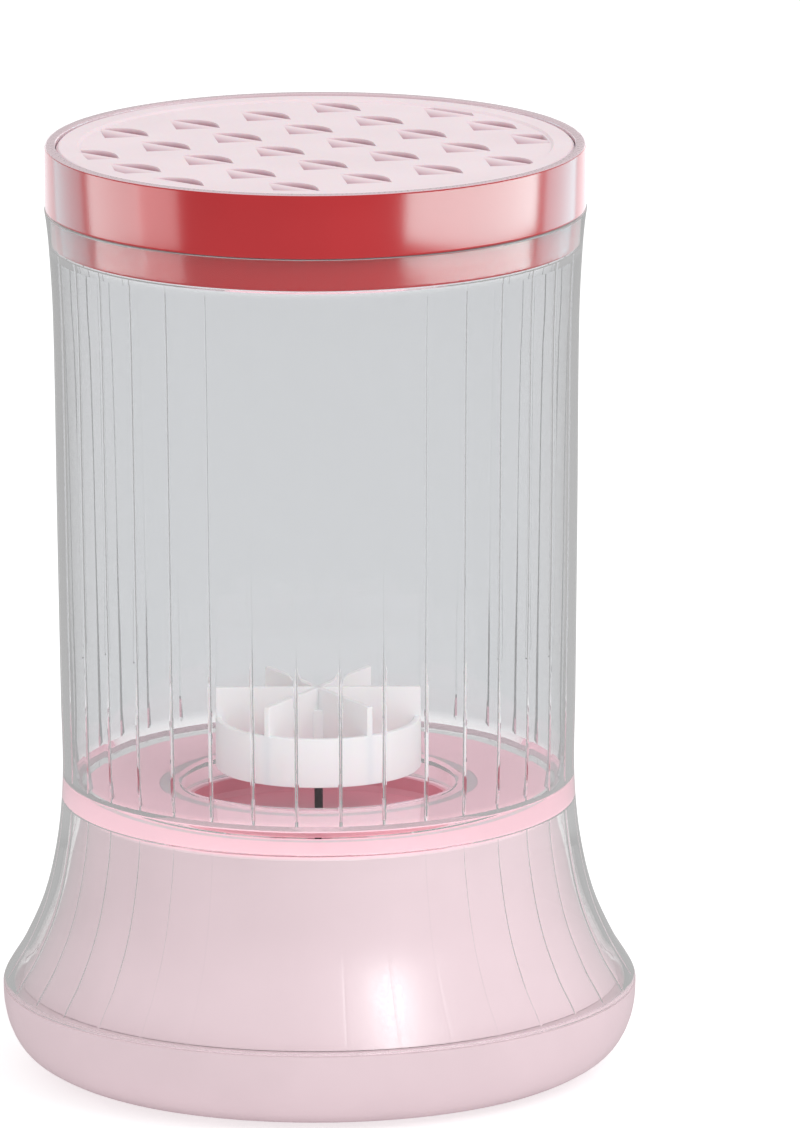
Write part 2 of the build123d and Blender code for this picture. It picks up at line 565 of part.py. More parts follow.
def make_motor_bracket():
    """Steel plate that hangs the motor from three bosses under the well."""
    low, high = MOTOR_TOP_Z, MOTOR_TOP_Z + BRACKET_THICKNESS
    plate = rod(BRACKET_RADIUS, low, high) - rod(MOTOR_NOSE_RADIUS + 0.1, low - 1, high + 1)
    between = [angle + 60 for angle in BRACKET_SCREW_ANGLES]
    bites = [rod(6.5, low - 1, high + 1, x, y) for x, y in around(BRACKET_RADIUS + 1, between)]
    screws = around(BRACKET_SCREW_CIRCLE, BRACKET_SCREW_ANGLES)
    holes = [rod(1.1, low - 1, high + 1, x, y) for x, y in screws]
    motor = [rod(1.1, low - 1, high + 1, side * MOTOR_SCREW_X) for side in (-1, 1)]
    return plate - bites - holes - motor


# ---- screws ------------------------------------------------------------------------------------
def screw(head_radius, head_height, shank_radius, shank_length):
    """A pan-head screw hanging from the underside of its head at the origin, with a cross slot."""
    head = rod(head_radius, 0, head_height)
    head = fillet(head.edges().group_by(Axis.Z)[-1], head_height * 0.45)
    cross = Pos(0, 0, head_height) * (
        Box(head_radius * 1.1, 0.5, head_height) + Box(0.5, head_radius * 1.1, head_height))
    return (head - cross) + rod(shank_radius, -shank_length, 0)


def make_motor_screws():
    one = screw(1.7, 1.1, 0.75, 3.2)
    seat = MOTOR_TOP_Z + BRACKET_THICKNESS
    return Compound([Pos(side * MOTOR_SCREW_X, 0, seat) * one for side in (-1, 1)])


def make_bracket_screws():
    one = Rot(180, 0, 0) * screw(2.2, 1.3, 0.78, 5.0)
    places = around(BRACKET_SCREW_CIRCLE, BRACKET_SCREW_ANGLES)
    return Compound([Pos(x, y, MOTOR_TOP_Z) * one for x, y in places])


def make_pan_screws():
    one = Rot(180, 0, 0) * screw(2.8, 1.6, 1.1, 10.0)
    places = around(PAN_SCREW_CIRCLE, PAN_SCREW_ANGLES)
    return Compound([Pos(x, y, PAN_SCREW_SEAT_Z) * one for x, y in places])


def make_board_screws():
    one = screw(1.5, 1.0, 0.68, 3.4)
    return Compound([Pos(x, y, BOARD_TOP_Z) * one for x, y in board_screw_places()])


def make_strap_screws():
    one = screw(1.9, 1.1, 0.78, 4.0)
    return Compound([Pos(0, BATTERY_Y + side * STRAP_POST_Y, BATTERY_Z + 1.2) * one for side in (-1, 1)])


# ---- battery, board and controls ---------------------------------------------------------------
def make_battery():
    """Rechargeable cell lying across the front of the base, with its raised positive end."""
    cell = fillet(Cylinder(BATTERY_RADIUS, BATTERY_LENGTH).edges(), 0.8)
    button = Pos(0, 0, BATTERY_LENGTH / 2 + 0.4) * Cylinder(3.0, 0.8)
    return Pos(0, BATTERY_Y, BATTERY_Z) * Rot(0, 90, 0) * (cell + button)


def make_battery_strap():
    """Hoop over the cell with a foot on each post."""
    outer = Rot(0, 90, 0) * Cylinder(BATTERY_RADIUS + 1.2, 5.0)
    inner = Rot(0, 90, 0) * Cylinder(BATTERY_RADIUS + 0.1, 6.0)
    above = Pos(0, 0, 10) * Box(20, 60, 20)
    hoop = (outer - inner) & above
    feet = [Pos(0, side * 12.4, 0.6) * Box(5.0, 5.2, 1.2) for side in (-1, 1)]
    strap = hoop + feet
    strap = strap - [Pos(0, side * STRAP_POST_Y, 0) * Cylinder(1.0, 10) for side in (-1, 1)]
    return Pos(0, BATTERY_Y, BATTERY_Z) * (strap - inner)


def make_circuit_board():
    depth = BOARD_Y1 - BOARD_Y0
    board = Pos(0, (BOARD_Y0 + BOARD_Y1) / 2, BOARD_Z + BOARD_THICKNESS / 2) * Box(
        2 * BOARD_X, depth, BOARD_THICKNESS)
    return board - [rod(0.9, BOARD_Z - 1, BOARD_TOP_Z + 1, x, y) for x, y in board_screw_places()]


def make_board_chips():
    """Charger and driver chips, an inductor and a row of small parts on the board."""
    def brick(x, y, w, d, h):
        return Pos(x, y, BOARD_TOP_Z + h / 2) * Box(w, d, h)

    charger = brick(1.5, 37.0, 5.0, 4.0, 1.5)
    driver = brick(-6.5, 37.8, 4.0, 3.0, 1.1)
    inductor = brick(8.6, 38.6, 4.0, 4.0, 2.4)
    small = [brick(-9.5 + 2.4 * i, 41.6, 1.4, 0.8, 0.6) for i in range(4)]
    lamp = brick(0, LAMP_Y, 1.8, 1.2, 2.6)
    return Compound([charger, driver, inductor, *small, lamp])


def make_usb_socket():
    """Metal shell of the charging socket with its contact tongue and two feet on the board."""
    width, height, depth, wall = 8.94, 3.2, 7.3, 0.3
    shell = extrude(SlotOverall(width, height), depth)
    shell = shell - Pos(0, 0, 2 * wall) * extrude(SlotOverall(width - 2 * wall, height - 2 * wall), depth)
    tongue = Pos(0, 0, 3.2) * Box(6.6, 0.7, 5.4)
    foot_height = PORT_Z - BOARD_TOP_Z - height / 2 + 0.4
    feet = [Pos(side * 3.2, foot_height / 2 - PORT_Z + BOARD_TOP_Z, 1.9) * Box(1.2, foot_height, 2.4)
            for side in (-1, 1)]
    turned_to_back = Rot(-90, 0, 0) * Rot(0, 0, 180)
    return Pos(PORT_X, PORT_MOUTH_Y - depth, PORT_Z) * turned_to_back * (shell + tongue + feet)


def make_tact_switch():
    """Switch body near the edge of the board, with a bore for its plunger."""
    depth = SWITCH_Y1 - SWITCH_Y0
    body = Pos(BUTTON_X, SWITCH_Y0 + depth / 2, BOARD_TOP_Z + 1.9) * Box(6.0, depth, 3.8)
    return body - rod_along_y(STEM_RADIUS + 0.1, SWITCH_Y0 + 0.6, 50, BUTTON_X, BUTTON_Z)


def make_switch_plunger():
    return rod_along_y(STEM_RADIUS, SWITCH_Y0 + 1.6, SWITCH_Y1 + PLUNGER_PROUD, BUTTON_X, BUTTON_Z)


def make_power_button():
    """Round cap in the back of the pan, with a stem that meets the plunger of the switch."""
    cap = rod_along_y(BUTTON_RADIUS, BUTTON_BACK_Y, BUTTON_FACE_Y, BUTTON_X, BUTTON_Z)
    cap = fillet(cap.edges().group_by(Axis.Y)[-1], 0.6)
    stem = rod_along_y(STEM_RADIUS, SWITCH_Y1 + PLUNGER_PROUD, BUTTON_BACK_Y, BUTTON_X, BUTTON_Z)
    return cap + stem


def make_light_pipe():
    """Clear pin that brings the charging light to the back of the pan."""
    return rod_along_y(LIGHT_RADIUS, LAMP_Y + 1.0, LIGHT_FACE_Y, 0, BUTTON_Z)


def lead(*points, bend):
    """An insulated wire along a route with rounded bends."""
    path = FilletPolyline(*points, radius=bend)
    start = Plane(origin=path @ 0, z_dir=path % 0)
    return sweep(start * Circle(LEAD_RADIUS), path=path)


def board_end(x):
    """The last stretch of a lead: along the board, then down to its pad."""
    return (x, 27.5, 10.2), (x, 32.0, 10.2), (x, 32.0, BOARD_TOP_Z + 0.02)


def make_motor_leads():
    """Two wires from the motor terminals back to the board."""
    low = MOTOR_BOTTOM_Z - 1.7
    return Compound([
        lead((side * 8.0, 1.02, low), (side * 8.0, 12.0, low), *board_end(side * 3.4), bend=1.6)
        for side in (-1, 1)
    ])


def make_battery_leads():
    """Two wires from the ends of the cell, round the motor, to the board."""
    tips = ((1, BATTERY_LENGTH / 2 + 0.82), (-1, BATTERY_LENGTH / 2 + 0.02))
    return Compound([
        lead((side * tip, BATTERY_Y, BATTERY_Z), (side * 30.5, BATTERY_Y, BATTERY_Z),
             (side * 30.0, -8.0, 9.5), (side * 21.0, 14.0, 9.5), *board_end(side * 7.6), bend=2.0)
        for side, tip in tips
    ])


RIB = cup_rib()

NODES = {
    "base_pan": make_base_pan,
    "rubber_feet": make_rubber_feet,
    "housing": make_housing,
    "clear_cup": make_clear_cup,
    "cup_seal": make_cup_seal,
    "shaft_seal": make_shaft_seal,
    "well_liner": make_well_liner,
    "lid_ring": make_lid_ring,
    "lid_gasket": make_lid_gasket,
    "lid_pad": make_lid_pad,
    "paddle": make_paddle,
    "motor_shaft": make_motor_shaft,
    "motor_can": make_motor_can,
    "motor_bushes": make_motor_bushes,
    "motor_end_cap": make_motor_end_cap,
    "motor_brushes": make_motor_brushes,
    "motor_magnets": make_motor_magnets,
    "motor_rotor": make_motor_rotor,
    "commutator": make_commutator,
    "motor_bracket": make_motor_bracket,
    "motor_screws": make_motor_screws,
    "bracket_screws": make_bracket_screws,
    "pan_screws": make_pan_screws,
    "board_screws": make_board_screws,
    "strap_screws": make_strap_screws,
    "battery": make_battery,
    "battery_strap": make_battery_strap,
    "circuit_board": make_circuit_board,
    "board_chips": make_board_chips,
    "usb_socket": make_usb_socket,
    "tact_switch": make_tact_switch,
    "switch_plunger": make_switch_plunger,
    "power_button": make_power_button,
    "light_pipe": make_light_pipe,
    "motor_leads": make_motor_leads,
    "battery_leads": make_battery_leads,
}

os.makedirs("parts", exist_ok=True)
for node, make in NODES.items():
    save(make(), node)
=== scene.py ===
"""Looks of the make-up brush cleaner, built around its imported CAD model."""
import math

import bpy
import bmesh
from mathutils import Matrix, Vector
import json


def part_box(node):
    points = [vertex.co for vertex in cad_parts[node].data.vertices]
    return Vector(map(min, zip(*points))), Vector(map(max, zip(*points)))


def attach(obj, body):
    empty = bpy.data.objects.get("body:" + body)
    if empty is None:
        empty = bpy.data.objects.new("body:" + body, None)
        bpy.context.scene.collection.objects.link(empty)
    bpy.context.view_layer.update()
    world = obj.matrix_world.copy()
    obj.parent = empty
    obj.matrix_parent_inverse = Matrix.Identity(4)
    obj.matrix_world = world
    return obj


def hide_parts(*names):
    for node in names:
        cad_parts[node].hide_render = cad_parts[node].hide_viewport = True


MM = 0.001

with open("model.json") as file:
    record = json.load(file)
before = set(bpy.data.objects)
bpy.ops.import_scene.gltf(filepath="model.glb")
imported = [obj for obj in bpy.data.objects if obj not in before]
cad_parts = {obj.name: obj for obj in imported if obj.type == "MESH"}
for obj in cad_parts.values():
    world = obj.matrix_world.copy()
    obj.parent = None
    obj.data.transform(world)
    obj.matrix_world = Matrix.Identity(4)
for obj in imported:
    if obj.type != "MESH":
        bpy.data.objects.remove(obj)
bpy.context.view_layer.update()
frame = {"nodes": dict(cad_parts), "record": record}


def radius_of(node):
    """How far a CAD node reaches from Z, in millimetres."""
    return round(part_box(node)[1].x / MM, 2)


def bottom_of(node):
    """The lowest height of a CAD node at rest, in millimetres."""
    return round(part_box(node)[0].z / MM, 2)


def top_of(node):
    """The highest height of a CAD node at rest, in millimetres."""
    return round(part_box(node)[1].z / MM, 2)


# ---- sizes, in millimetres, that the frame gives -----------------------------------------------
HEIGHT = top_of("lid_ring")
BASE_RADIUS = radius_of("base_pan")
SEAM_Z = top_of("base_pan")
DECK_Z = top_of("housing")
LIP_Z = top_of("clear_cup")
LID_RADIUS = radius_of("lid_ring")
PLUG_BOTTOM_Z = bottom_of("lid_ring")
GASKET_TOP_Z = top_of("lid_gasket")
PAD_RADIUS = radius_of("lid_pad")
PAD_SHELF_Z = bottom_of("lid_pad")
PAD_TOP_Z = top_of("lid_pad")
PADDLE_RADIUS = radius_of("paddle")
PADDLE_BOTTOM_Z = bottom_of("paddle")
PADDLE_TOP_Z = top_of("paddle")

# ---- sizes that it doesn't give, the same as in the CAD model ----------------------------------
FLOOR_TOP_Z = DECK_Z + 4.1
FLOOR_HOLE_RADIUS = 24.2
CUP_LIP_RADIUS = 47.42
CUP_BORE_RADIUS = 45.6
FLUTES = 36
PLUG_RADIUS = CUP_BORE_RADIUS - 0.12
PLUG_WALL = 1.3
PAD_FIELD_RADIUS = 41.6
PAD_FIELD_Z = PAD_TOP_Z - 0.4
PADDLE_RING_TOP_Z = PADDLE_BOTTOM_Z + 8.6
VANE_THICKNESS = 1.1

# ---- tools for materials -----------------------------------------------------------------------
# A Mix node has several sockets of each name. These are its factor and its colour sockets.
MIX_FACTOR = 0
MIX_FIRST = 6
MIX_SECOND = 7
MIX_RESULT = 2


def new_material(name):
    """A material with its nodes, its links and its shader."""
    material = bpy.data.materials.new(name)
    material.use_nodes = True
    nodes = material.node_tree.nodes
    return material, nodes, material.node_tree.links, nodes["Principled BSDF"]


def noise(nodes, links, scale, detail, stretch):
    """Noise over the object's own coordinates, with a stretch along each axis."""
    coordinates = nodes.new("ShaderNodeTexCoord")
    mapping = nodes.new("ShaderNodeMapping")
    mapping.inputs["Scale"].default_value = stretch
    texture = nodes.new("ShaderNodeTexNoise")
    texture.inputs["Scale"].default_value = scale
    texture.inputs["Detail"].default_value = detail
    links.new(coordinates.outputs["Object"], mapping.inputs["Vector"])
    links.new(mapping.outputs["Vector"], texture.inputs["Vector"])
    return texture.outputs["Fac"]


def ramp(nodes, links, factor, low, high, start=0.35, end=0.65):
    """A blend between two colours over part of a factor's range."""
    node = nodes.new("ShaderNodeValToRGB")
    node.color_ramp.elements[0].position = start
    node.color_ramp.elements[1].position = end
    node.color_ramp.elements[0].color = (*low, 1)
    node.color_ramp.elements[1].color = (*high, 1)
    links.new(factor, node.inputs["Fac"])
    return node.outputs["Color"]


def spread(nodes, links, factor, low, high):
    """Noise, most of which lies between 0.3 and 0.7, brought to another range."""
    node = nodes.new("ShaderNodeMapRange")
    node.inputs["From Min"].default_value = 0.3
    node.inputs["From Max"].default_value = 0.7
    node.inputs["To Min"].default_value = low
    node.inputs["To Max"].default_value = high
    links.new(factor, node.inputs["Value"])
    return node.outputs["Result"]


def share_of_height(nodes, links, start, end):
    """A number that goes from 0 to 1 between two heights of the object at rest."""
    coordinates = nodes.new("ShaderNodeTexCoord")
    split = nodes.new("ShaderNodeSeparateXYZ")
    share = nodes.new("ShaderNodeMapRange")
    share.inputs["From Min"].default_value = start * MM
    share.inputs["From Max"].default_value = end * MM
    links.new(coordinates.outputs["Object"], split.inputs["Vector"])
    links.new(split.outputs["Z"], share.inputs["Value"])
    return share.outputs["Result"]


def combined(nodes, links, operation, first, second):
    """One number from two, kept between 0 and 1."""
    node = nodes.new("ShaderNodeMath")
    node.operation = operation
    node.use_clamp = True
    links.new(first, node.inputs[0])
    links.new(second, node.inputs[1])
    return node.outputs["Value"]


def mixed_colour(nodes, links, factor, first, second):
    """A blend of two colours. Each is a plain colour or another node's socket."""
    node = nodes.new("ShaderNodeMix")
    node.data_type = "RGBA"
    links.new(factor, node.inputs[MIX_FACTOR])
    for index, colour in ((MIX_FIRST, first), (MIX_SECOND, second)):
        if isinstance(colour, tuple):
            node.inputs[index].default_value = (*colour, 1)
        else:
            links.new(colour, node.inputs[index])
    return node.outputs[MIX_RESULT]


def end_in_mix(nodes, links, factor, first, second):
    """Makes a mix of two shaders the surface of the material."""
    mix = nodes.new("ShaderNodeMixShader")
    links.new(factor, mix.inputs["Fac"])
    links.new(first.outputs["BSDF"], mix.inputs[1])
    links.new(second.outputs["BSDF"], mix.inputs[2])
    links.new(mix.outputs["Shader"], nodes["Material Output"].inputs["Surface"])


def add_bump(nodes, links, shader, height, strength, distance_mm):
    """Lets a factor stand out of the surface by up to the given distance."""
    node = nodes.new("ShaderNodeBump")
    node.inputs["Strength"].default_value = strength
    node.inputs["Distance"].default_value = distance_mm * MM
    links.new(height, node.inputs["Height"])
    links.new(node.outputs["Normal"], shader.inputs["Normal"])


def mirrored_rays(nodes, links):
    """The Light Path node, and 1 for rays that a surface has mirrored, but not for those it has bent."""
    path = nodes.new("ShaderNodeLightPath")
    glossy, bent = path.outputs["Is Glossy Ray"], path.outputs["Is Transmission Ray"]
    return path, combined(nodes, links, "SUBTRACT", glossy, bent)


def scaled(colour, factor):
    """A lighter or darker version of a colour."""
    return tuple(min(1.0, channel * factor) for channel in colour)


def surface(name, colour, roughness, vary=0.06, patch=60, grain=1800, grain_depth=0.02,
            grain_strength=0.3, stretch=(1, 1, 1), **sockets):
    """A solid surface with soft colour patches, uneven roughness and a fine grain."""
    material, nodes, links, shader = new_material(name)
    patches = noise(nodes, links, patch, detail=4.0, stretch=stretch)
    fine = noise(nodes, links, grain, detail=2.0, stretch=stretch)
    colours = ramp(nodes, links, patches, scaled(colour, 1 - vary), scaled(colour, 1 + vary))
    links.new(colours, shader.inputs["Base Color"])
    links.new(spread(nodes, links, fine, *roughness), shader.inputs["Roughness"])
    add_bump(nodes, links, shader, fine, grain_strength, grain_depth)
    for socket, value in sockets.items():
        shader.inputs[socket.replace("_", " ")].default_value = value
    return material


# ---- clear plastic -----------------------------------------------------------------------------
WHITE = (1.0, 1.0, 1.0)
CLEAR_TINT = (0.75, 0.758, 0.77)        # seen straight on
CLEAR_EDGE_TINT = (0.87, 0.87, 0.88)    # seen edge on
CLEAR_EDGE_RANGE = (0.30, 0.80)
CLEAR_ROUGHNESS = (0.0, 0.02)
CLEAR_IOR = 1.49
CLEAR_WAVES = 45
CLEAR_WAVE_STRETCH = (1, 1, 0.35)
CLEAR_LET_THROUGH = (0.98, 0.98, 0.98, 1)
TINT_STARTS = (FLOOR_TOP_Z + 0.5, FLOOR_TOP_Z + 2.5)
TINT_ENDS = (PLUG_BOTTOM_Z + 0.8, PLUG_BOTTOM_Z - 1.2)


def clear_material(name):
    """Clear moulded plastic, faintly smoky between the floor of the cup and the plug of the lid. It
    bends light for the eye. Lamplight and mirrored light go straight through to what it covers."""
    material, nodes, links, shader = new_material(name)
    waves = noise(nodes, links, CLEAR_WAVES, detail=2.0, stretch=CLEAR_WAVE_STRETCH)
    links.new(spread(nodes, links, waves, *CLEAR_ROUGHNESS), shader.inputs["Roughness"])
    add_bump(nodes, links, shader, waves, strength=0.05, distance_mm=0.04)

    facing = nodes.new("ShaderNodeLayerWeight").outputs["Facing"]
    tint = ramp(nodes, links, facing, CLEAR_TINT, CLEAR_EDGE_TINT, *CLEAR_EDGE_RANGE)
    above_floor = share_of_height(nodes, links, *TINT_STARTS)
    below_plug = share_of_height(nodes, links, *TINT_ENDS)
    smoky = combined(nodes, links, "MULTIPLY", above_floor, below_plug)
    links.new(mixed_colour(nodes, links, smoky, WHITE, tint), shader.inputs["Base Color"])
    shader.inputs["Transmission Weight"].default_value = 1.0
    shader.inputs["IOR"].default_value = CLEAR_IOR

    path, mirrored = mirrored_rays(nodes, links)
    shadow_or_diffuse = combined(
        nodes, links, "MAXIMUM", path.outputs["Is Shadow Ray"], path.outputs["Is Diffuse Ray"])
    passing = combined(nodes, links, "MAXIMUM", shadow_or_diffuse, mirrored)
    open_way = nodes.new("ShaderNodeBsdfTransparent")
    open_way.inputs["Color"].default_value = CLEAR_LET_THROUGH
    end_in_mix(nodes, links, passing, shader, open_way)
    return material


# ---- finishes ----------------------------------------------------------------------------------
PINK = (0.70, 0.55, 0.588)
# Painted light: the colour that the housing's deck turns to, lighter and pinker than the rest, standing
# in for light that the lid and ring keep off it.
DECK_PAINTED_LIGHT = (0.92, 0.58, 0.655)
# Painted shade: the colour that the pad turns to down its pockets, where shade falls.
POCKET_PAINTED_SHADE = (0.46, 0.23, 0.29)
FINISHES = {
    "housing_plastic": dict(colour=PINK, roughness=(0.30, 0.38), vary=0.02, grain_strength=0.1),
    "pink_plastic": dict(colour=PINK, roughness=(0.30, 0.38), vary=0.02, grain_strength=0.1),
    "foot_rubber": dict(colour=(0.10, 0.09, 0.09), roughness=(0.7, 0.85), vary=0.12, grain_strength=0.6),
    "rose_silicone": dict(colour=(0.86, 0.34, 0.42), roughness=(0.35, 0.5), vary=0.05, Coat_Weight=0.2),
    "seal_rubber": dict(colour=(0.035, 0.02, 0.02), roughness=(0.45, 0.6), vary=0.15),
    "plated_ring": dict(colour=(0.42, 0.018, 0.022), roughness=(0.3, 0.36), vary=0.03,
                        grain_strength=0.03, Specular_IOR_Level=0.0, Coat_Weight=1.0,
                        Coat_Roughness=0.16, Sheen_Weight=0.6, Sheen_Roughness=0.32,
                        Sheen_Tint=(0.92, 0.90, 0.95, 1)),
    "ring_rim": dict(colour=(0.66, 0.50, 0.54), roughness=(0.25, 0.32), vary=0.02, grain_strength=0.05,
                     Coat_Weight=0.6),
    "gasket_rubber": dict(colour=(0.10, 0.03, 0.035), roughness=(0.5, 0.65), vary=0.15),
    "pink_silicone": dict(colour=(0.68, 0.56, 0.59), roughness=(0.48, 0.60), vary=0.02,
                          grain_strength=0.2, Subsurface_Weight=0.2, Subsurface_Scale=0.003,
                          Sheen_Weight=0.15),
    "pad_silicone": dict(colour=(0.81, 0.68, 0.715), roughness=(0.48, 0.60), vary=0.02,
                         grain_strength=0.2, Subsurface_Weight=0.1, Subsurface_Scale=0.002,
                         Sheen_Weight=0.15),
    "white_plastic": dict(colour=(0.92, 0.92, 0.92), roughness=(0.45, 0.6), vary=0.02,
                          grain_strength=0.35, Subsurface_Weight=0.1, Subsurface_Scale=0.002),
    "dark_steel": dict(colour=(0.02, 0.015, 0.02), roughness=(0.3, 0.45), vary=0.15, Metallic=0.7),
    "steel": dict(colour=(0.55, 0.55, 0.57), roughness=(0.25, 0.4), vary=0.08, grain=900,
                  stretch=(1, 1, 6), Metallic=1.0),
    "bronze": dict(colour=(0.60, 0.34, 0.16), roughness=(0.3, 0.45), vary=0.12, Metallic=1.0),
    "magnet": dict(colour=(0.05, 0.05, 0.055), roughness=(0.55, 0.7), vary=0.2, grain_strength=0.6),
    "rotor_iron": dict(colour=(0.26, 0.12, 0.06), roughness=(0.3, 0.45), vary=0.25, grain=2500,
                       stretch=(0.2, 0.2, 3), grain_depth=0.08, grain_strength=0.8, Metallic=0.6),
    "cell_sleeve": dict(colour=(0.06, 0.18, 0.42), roughness=(0.2, 0.3), vary=0.08, Coat_Weight=0.4),
    "board": dict(colour=(0.015, 0.09, 0.035), roughness=(0.25, 0.4), vary=0.35, patch=500,
                  Coat_Weight=0.3),
    "chip": dict(colour=(0.012, 0.012, 0.014), roughness=(0.4, 0.55), vary=0.2, patch=700),
    "button_plastic": dict(colour=(0.82, 0.76, 0.77), roughness=(0.16, 0.24), vary=0.02,
                           grain_strength=0.08, Coat_Weight=0.5),
    "lead_red": dict(colour=(0.42, 0.02, 0.02), roughness=(0.35, 0.5), vary=0.1),
    "lead_black": dict(colour=(0.015, 0.015, 0.015), roughness=(0.35, 0.5), vary=0.1),
}
MATERIALS = {name: surface(name, **finish) for name, finish in FINISHES.items()}
MATERIALS["clear_plastic"] = clear_material("clear_plastic")


def paint_shade_and_light_by_height(name, colour, start, end):
    """Turns a material's colour to another between two heights of the object at rest. Here it paints
    shade down the pad's pockets and painted light on the housing's deck.
    """
    tree = MATERIALS[name].node_tree
    socket = tree.nodes["Principled BSDF"].inputs["Base Color"]
    usual = socket.links[0].from_socket
    share = share_of_height(tree.nodes, tree.links, start, end)
    tree.links.new(mixed_colour(tree.nodes, tree.links, share, usual, colour), socket)


def dress_cad_nodes():
    """Every CAD node takes the material of its slot in the record. The housing has its own material,
    whose pink is painted lighter and pinker on the deck: painted light that makes up for the shade of
    the lid."""
    for entry in frame["record"]["subparts"]:
        node = frame["nodes"][entry["node"]]
        node.data.materials.clear()
        node.data.materials.append(MATERIALS[entry["material_slot"]])
    frame["nodes"]["housing"].data.materials[0] = MATERIALS["housing_plastic"]


# ---- mesh tools --------------------------------------------------------------------------------
def finish_mesh(name, bm, slot, body, replaced, sharp=30):
    """Turns a bmesh, in millimetres, into a smooth-shaded piece that rides on a body."""
    bmesh.ops.recalc_face_normals(bm, faces=bm.faces)
    bmesh.ops.scale(bm, vec=(MM, MM, MM), verts=bm.verts)
    mesh = bpy.data.meshes.new(name)
    bm.to_mesh(mesh)
    bm.free()
    mesh.shade_smooth()
    mesh.set_sharp_from_angle(angle=math.radians(sharp))
    mesh.materials.append(MATERIALS[slot])
    piece = bpy.data.objects.new(name, mesh)
    bpy.context.scene.collection.objects.link(piece)
    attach(piece, body)
    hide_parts(*replaced)
    return piece


def hermite(points, steps, ends):
    """A smooth line through (radius, height) points that leaves and arrives in the given directions."""
    vectors = [Vector(p) for p in points]
    last = len(vectors) - 1
    slopes = [
        (vectors[min(i + 1, last)] - vectors[max(i - 1, 0)]).normalized()
        for i in range(last + 1)
    ]
    slopes[0], slopes[last] = (Vector(end).normalized() for end in ends)
    line = []
    for i in range(last):
        a, b = vectors[i], vectors[i + 1]
        reach = (b - a).length
        for k in range(steps):
            t = k / steps
            place = (2 * t**3 - 3 * t**2 + 1) * a + (-2 * t**3 + 3 * t**2) * b
            pull = (t**3 - 2 * t**2 + t) * slopes[i] + (t**3 - t**2) * slopes[i + 1]
            line.append(tuple(place + reach * pull))
    line.append(tuple(vectors[-1]))
    return line


def softened(corners, radius, steps=3):
    """A closed outline with each corner rounded by a short arc."""
    line = []
    count = len(corners)
    for i in range(count):
        before, here, after = (Vector(corners[(i + k) % count]) for k in (-1, 0, 1))
        to_before, to_after = before - here, after - here
        cut = min(radius, to_before.length * 0.45, to_after.length * 0.45)
        a = here + to_before.normalized() * cut
        b = here + to_after.normalized() * cut
        for k in range(steps + 1):
            t = k / steps
            line.append(tuple((1 - t) ** 2 * a + 2 * t * (1 - t) * here + t**2 * b))
    return line


def even_angles(count):
    """Angles that divide a full turn evenly."""
    return [2 * math.pi * i / count for i in range(count)]


def lathe(bm, outline, angles, shape=None):
    """Turns a closed (radius, height) outline about Z. shape moves a point by its index and angle."""
    rings = []
    for angle in angles:
        ring = []
        for index, (radius, height) in enumerate(outline):
            r = radius + (shape(index, angle) if shape else 0)
            ring.append(bm.verts.new((r * math.sin(angle), -r * math.cos(angle), height)))
        rings.append(ring)
    count = len(outline)
    for s, here in enumerate(rings):
        following = rings[(s + 1) % len(rings)]
        for i in range(count):
            j = (i + 1) % count
            bm.faces.new((here[i], following[i], following[j], here[j]))
    return bm


def rounded_slab(bm, size, at, turn, soft):
    """A box with bevelled edges, turned about Z."""
    verts = bmesh.ops.create_cube(bm, size=1.0)["verts"]
    bmesh.ops.scale(bm, vec=size, verts=verts)
    bmesh.ops.translate(bm, vec=at, verts=verts)
    bmesh.ops.rotate(bm, cent=(0, 0, 0), matrix=Matrix.Rotation(turn, 3, "Z"), verts=verts)
    edges = list({edge for vert in verts for edge in vert.link_edges})
    bmesh.ops.bevel(bm, geom=edges, offset=soft, segments=3, profile=0.6, affect="EDGES")


# ---- clear cup ---------------------------------------------------------------------------------
FLUTE_STEP = 2 * math.pi / FLUTES
RIB_SPREAD = 0.2          # a rib falls away within about this distance of its middle
RIB_DEPTH = 0.32          # low on the wall
RIB_FAINT_DEPTH = 0.12    # high on the wall
RIB_FULL_Z = 62.0
RIB_FAINT_Z = 92.0
RIB_FOOT_DEPTH = 0.6      # added where a rib meets the floor
RIB_FOOT_HEIGHT = 3.5
RIB_SKIRT_DEPTH = 0.09
ACROSS_RIB = (-0.55, -0.36, -0.22, -0.1, 0.0, 0.1, 0.22, 0.36, 0.55)    # degrees from a rib's middle
ACROSS_FLUTE = (1.6, 3.2, 5.0, 6.8, 8.4)
CURVE_STEPS = 6
WALL_STEPS = 24
WALL_FOOT = Vector((43.5, FLOOR_TOP_Z + 2.2))
WALL_HEAD = Vector((45.0, FLOOR_TOP_Z + 94.8))
BONDED_Z = DECK_Z - 0.05  # the floor sinks a hair into the deck, so no film of air shows between them


def flute_angles():
    """Angles round the cup, close together across each rib and wide apart in the flat of a flute."""
    return [
        FLUTE_STEP * (i + 0.5) + math.radians(offset)
        for i in range(FLUTES) for offset in ACROSS_RIB + ACROSS_FLUTE
    ]


def rib(angle, height):
    """How far the inner wall stands in at an angle: a thin rounded rib at the edge of each flute, at
    its fullest just above the floor of the cup."""
    place = (angle / FLUTE_STEP) % 1.0
    off_rib = abs(place - 0.5) * FLUTE_STEP * CUP_BORE_RADIUS
    if height < DECK_Z:
        depth = RIB_SKIRT_DEPTH
    else:
        fade = min(1.0, max(0.0, (height - RIB_FULL_Z) / (RIB_FAINT_Z - RIB_FULL_Z)))
        depth = RIB_DEPTH + (RIB_FAINT_DEPTH - RIB_DEPTH) * fade * fade * (3 - 2 * fade)
        depth += RIB_FOOT_DEPTH * math.exp(-(((height - FLOOR_TOP_Z) / RIB_FOOT_HEIGHT) ** 2))
    return depth * math.exp(-((off_rib / RIB_SPREAD) ** 2))


